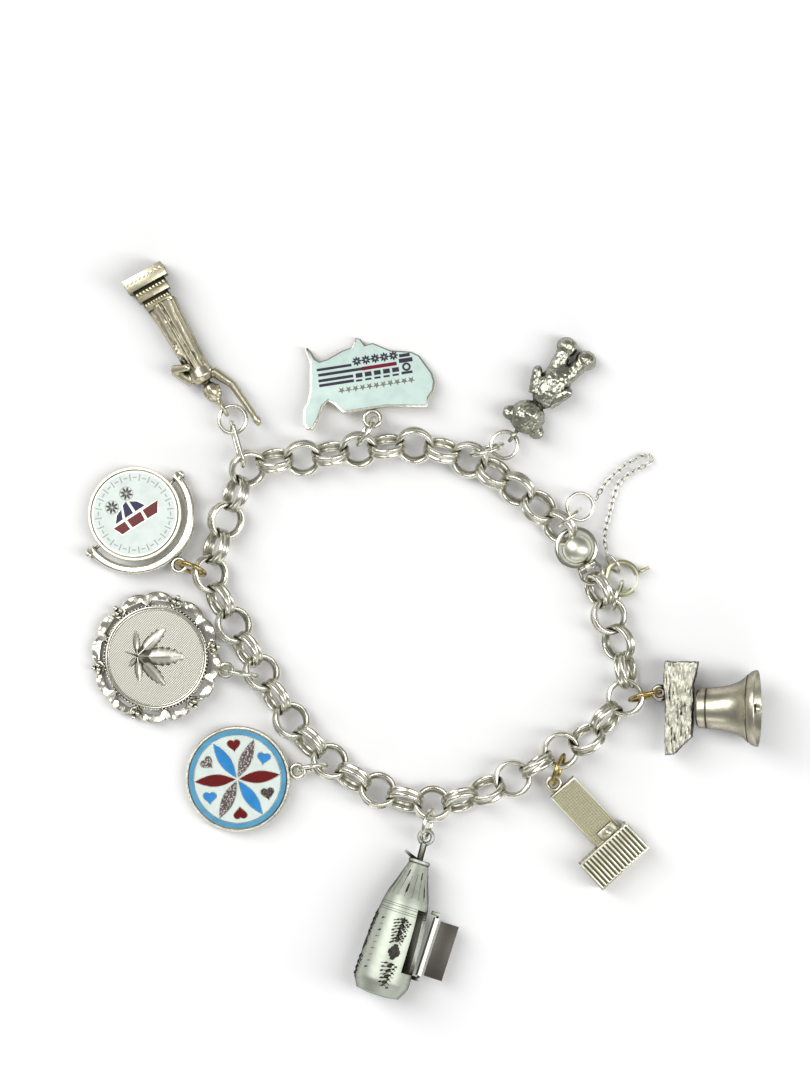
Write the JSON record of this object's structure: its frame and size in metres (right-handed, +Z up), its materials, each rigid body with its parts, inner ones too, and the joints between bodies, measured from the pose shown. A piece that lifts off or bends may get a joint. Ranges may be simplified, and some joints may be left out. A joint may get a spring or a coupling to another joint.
{
  "type": "charm bracelet",
  "caption": "Silver charm bracelet of soldered double links, with a domed fold-over clasp, a safety chain and hanging charms: discs, a medallion, figures, a bell and small buildings.",
  "frame": {"origin": "on the surface the bracelet lies on, under the middle of its bounding box", "axes": "+Z up from the surface; +Y to the top of the picture, where the map charm lies; +X to its right, where the bell lies"},
  "size_m": [0.1042, 0.1134, 0.0119],
  "materials": {
    "silver": "polished silver, dark in the recesses",
    "bright_silver": "bright polished silver",
    "antique_silver": "antiqued silver, worn bright on the high places",
    "brassy_silver": "tarnished, warm",
    "enamel": "glossy pale enamel"
  },
  "bodies": {
    "bracelet": {"anchor_ring_inner": "silver", "anchor_ring_outer": "silver", "bear": "antique_silver", "bear_chain_ring": "silver", "bear_jump_ring": "silver", "bell": "antique_silver", "bell_clapper": "antique_silver", "bell_jump_ring": "brassy_silver", "bell_yoke": "antique_silver", "catch_ring": "silver", "chain_lower": "silver", "chain_upper": "silver", "clasp_base": "bright_silver", "clasp_pin": "bright_silver", "hex_disc": "silver", "hex_enamel": "enamel", "hex_jump_ring": "silver", "leaf_jump_ring": "silver", "leaf_medal": "silver", "lodge": "antique_silver", "lodge_jump_ring": "silver", "map_enamel": "enamel", "map_jump_ring": "silver", "map_plate": "silver", "safety_chain": "silver", "safety_end_ring": "silver", "spinner_frame": "silver", "spinner_jump_ring": "brassy_silver", "spring_ring": "bright_silver", "statue": "antique_silver", "statue_jump_ring": "silver", "statue_oval_link": "silver", "tower": "silver", "tower_jump_ring": "brassy_silver"},
    "clasp_lid": {"clasp_lid": "bright_silver"},
    "spring_ring_gate": {"spring_ring_gate": "bright_silver"},
    "spinner": {"spinner_disc": "silver", "spinner_enamel": "enamel"},
    "lodge_flap": {"lodge_flap": "antique_silver"}
  },
  "joints": [
    {"name": "clasp_hinge", "type": "hinge", "parent": "bracelet", "child": "clasp_lid", "pos_m": [0.02521, 0.00965, 0.00438], "axis": [0.8493, 0.5279, 0], "range_deg": [0, 80]},
    {"name": "spring_ring_slide", "type": "hinge", "parent": "bracelet", "child": "spring_ring_gate", "pos_m": [0.03046, 0.00789, 0.00143], "axis": [0, 0, 1], "range_deg": [0, 45], "stiffness_Nm_per_rad": 0.0002, "springref_deg": -11.46},
    {"name": "spinner_pivot", "type": "hinge", "parent": "bracelet", "child": "spinner", "pos_m": [-0.04436, 0.01774, 0.00185], "axis": [-0.7536, -0.6574, 0], "continuous": true},
    {"name": "flap_hinge", "type": "hinge", "parent": "bracelet", "child": "lodge_flap", "pos_m": [0.00066, -0.04864, 0.00382], "axis": [-0.3069, -0.95, 0.0572], "range_deg": [0, 100]}
  ]
}
